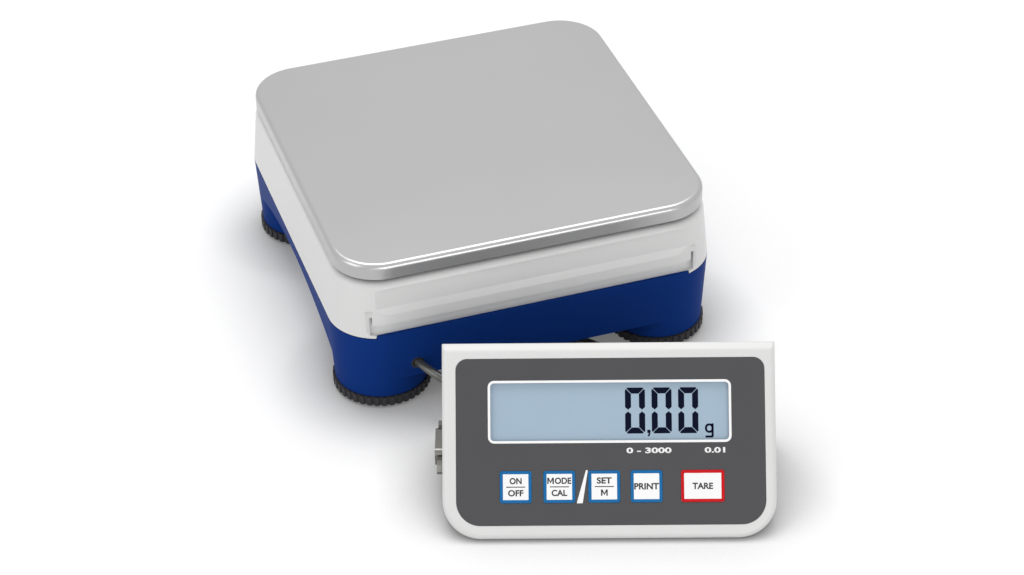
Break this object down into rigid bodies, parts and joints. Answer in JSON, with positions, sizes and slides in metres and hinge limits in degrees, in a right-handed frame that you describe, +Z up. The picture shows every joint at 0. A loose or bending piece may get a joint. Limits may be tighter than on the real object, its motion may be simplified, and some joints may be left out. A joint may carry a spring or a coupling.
{
  "type": "precision balance",
  "caption": "Square weighing unit with a lift-off steel plate and screwed feet, joined by a cord to a wedge-shaped display console with film keys.",
  "frame": {"origin": "on the table, under the middle of the box round the weighing unit and its console, cord left out", "axes": "+Z up, the front of the weighing unit faces -Y, the console stands in front of it towards -Y and is turned to the left"},
  "size_m": [0.165, 0.2888, 0.071],
  "materials": {
    "housing_blue": "satin dark blue",
    "housing_plastic": "fine satin, warm white",
    "base_plastic": "matt pale grey",
    "plate_steel": "fine satin",
    "foot_plastic": "matt black",
    "foot_rubber": "matt black",
    "frame_aluminium": "milled",
    "bush_brass": "turned",
    "screw_steel": "zinc plated",
    "rest_rubber": "matt dark grey",
    "potting_white": "smooth off-white sealant",
    "board_green": "satin green",
    "part_black": "matt black",
    "connector_white": "matt ivory",
    "lead_grey": "satin dark grey",
    "level_black": "gloss black",
    "level_glass": "clear yellow-green",
    "panel_film": "fine satin charcoal with white print",
    "inner_film": "clear satin film",
    "dome_steel": "polished",
    "key_film": "satin white with coloured frames",
    "lcd_grey": "smooth blue-grey",
    "light_white": "white diffuser",
    "shell_metal": "nickel plated",
    "insert_black": "matt black",
    "cord_jacket": "glossy black jacket",
    "cord_rubber": "satin black"
  },
  "bodies": {
    "instrument": {"lower_housing": "housing_blue", "top_cover": "housing_plastic", "display_housing": "housing_plastic", "display_base": "base_plastic", "display_feet": "foot_rubber", "base_plate": "frame_aluminium", "load_cell": "frame_aluminium", "pan_support": "frame_aluminium", "cell_spacer": "frame_aluminium", "foot_inserts": "bush_brass", "cell_screws": "screw_steel", "overload_stop": "screw_steel", "support_screws": "screw_steel", "cover_screws": "screw_steel", "board_screws": "screw_steel", "board_standoffs": "screw_steel", "main_board_screws": "screw_steel", "display_screws": "screw_steel", "plate_rests": "rest_rubber", "cell_potting": "potting_white", "converter_board": "board_green", "main_board": "board_green", "board_parts": "part_black", "main_board_parts": "part_black", "power_inlet": "part_black", "lead_plug": "connector_white", "cell_lead": "lead_grey", "level_ring": "level_black", "level_vial": "level_glass", "front_panel": "panel_film", "switch_film": "inner_film", "spacer_film": "inner_film", "key_domes": "dome_steel", "lcd_glass": "lcd_grey", "lcd_light": "light_white", "serial_shell": "shell_metal", "serial_jacks": "shell_metal", "serial_insert": "insert_black", "cord_lead": "cord_jacket", "cord_coil": "cord_jacket", "cord_tail": "cord_jacket", "cord_grommet": "cord_rubber", "cord_gland": "cord_rubber", "cord_tie": "cord_rubber"},
    "plate": {"weighing_plate": "plate_steel"},
    "pad_front_left": {"foot_pad_front_left": "foot_rubber"},
    "wheel_front_left": {"foot_wheel_front_left": "foot_plastic"},
    "pad_front_right": {"foot_pad_front_right": "foot_rubber"},
    "wheel_front_right": {"foot_wheel_front_right": "foot_plastic"},
    "pad_back_left": {"foot_pad_back_left": "foot_rubber"},
    "wheel_back_left": {"foot_wheel_back_left": "foot_plastic"},
    "pad_back_right": {"foot_pad_back_right": "foot_rubber"},
    "wheel_back_right": {"foot_wheel_back_right": "foot_plastic"},
    "press_on_off": {"key_on_off": "key_film"},
    "press_mode": {"key_mode": "key_film"},
    "press_set": {"key_set": "key_film"},
    "press_print": {"key_print": "key_film"},
    "press_tare": {"key_tare": "key_film"}
  },
  "joints": [
    {"name": "plate_lift", "type": "slide", "parent": "instrument", "child": "plate", "axis": [0, 0, 1], "range_m": [0, 0.04]},
    {"name": "foot_height_front_left", "type": "slide", "parent": "instrument", "child": "pad_front_left", "axis": [0, 0, -1], "range_m": [0, 0.006]},
    {"name": "foot_turn_front_left", "type": "hinge", "parent": "pad_front_left", "child": "wheel_front_left", "pos_m": [-0.061, 0.0009, 0.0032], "axis": [0, 0, -1], "range_deg": [0, 1728.1]},
    {"name": "foot_height_front_right", "type": "slide", "parent": "instrument", "child": "pad_front_right", "axis": [0, 0, -1], "range_m": [0, 0.006]},
    {"name": "foot_turn_front_right", "type": "hinge", "parent": "pad_front_right", "child": "wheel_front_right", "pos_m": [0.061, 0.0009, 0.0032], "axis": [0, 0, -1], "range_deg": [0, 1728.1]},
    {"name": "foot_height_back_left", "type": "slide", "parent": "instrument", "child": "pad_back_left", "axis": [0, 0, -1], "range_m": [0, 0.006]},
    {"name": "foot_turn_back_left", "type": "hinge", "parent": "pad_back_left", "child": "wheel_back_left", "pos_m": [-0.061, 0.1229, 0.0032], "axis": [0, 0, -1], "range_deg": [0, 1728.1]},
    {"name": "foot_height_back_right", "type": "slide", "parent": "instrument", "child": "pad_back_right", "axis": [0, 0, -1], "range_m": [0, 0.006]},
    {"name": "foot_turn_back_right", "type": "hinge", "parent": "pad_back_right", "child": "wheel_back_right", "pos_m": [0.061, 0.1229, 0.0032], "axis": [0, 0, -1], "range_deg": [0, 1728.1]},
    {"name": "press_on_off", "type": "slide", "parent": "instrument", "child": "press_on_off", "axis": [0.242, 0.7149, -0.6561], "range_m": [0, 0.0004], "stiffness_N_per_m": 5000},
    {"name": "press_mode", "type": "slide", "parent": "instrument", "child": "press_mode", "axis": [0.242, 0.7149, -0.6561], "range_m": [0, 0.0004], "stiffness_N_per_m": 5000},
    {"name": "press_set", "type": "slide", "parent": "instrument", "child": "press_set", "axis": [0.242, 0.7149, -0.6561], "range_m": [0, 0.0004], "stiffness_N_per_m": 5000},
    {"name": "press_print", "type": "slide", "parent": "instrument", "child": "press_print", "axis": [0.242, 0.7149, -0.6561], "range_m": [0, 0.0004], "stiffness_N_per_m": 5000},
    {"name": "press_tare", "type": "slide", "parent": "instrument", "child": "press_tare", "axis": [0.242, 0.7149, -0.6561], "range_m": [0, 0.0004], "stiffness_N_per_m": 5000}
  ],
  "couplings": [
    {"joint": "foot_turn_front_left", "follows": "foot_height_front_left", "rad_per_m": 5026.5},
    {"joint": "foot_turn_front_right", "follows": "foot_height_front_right", "rad_per_m": 5026.5},
    {"joint": "foot_turn_back_left", "follows": "foot_height_back_left", "rad_per_m": 5026.5},
    {"joint": "foot_turn_back_right", "follows": "foot_height_back_right", "rad_per_m": 5026.5}
  ]
}
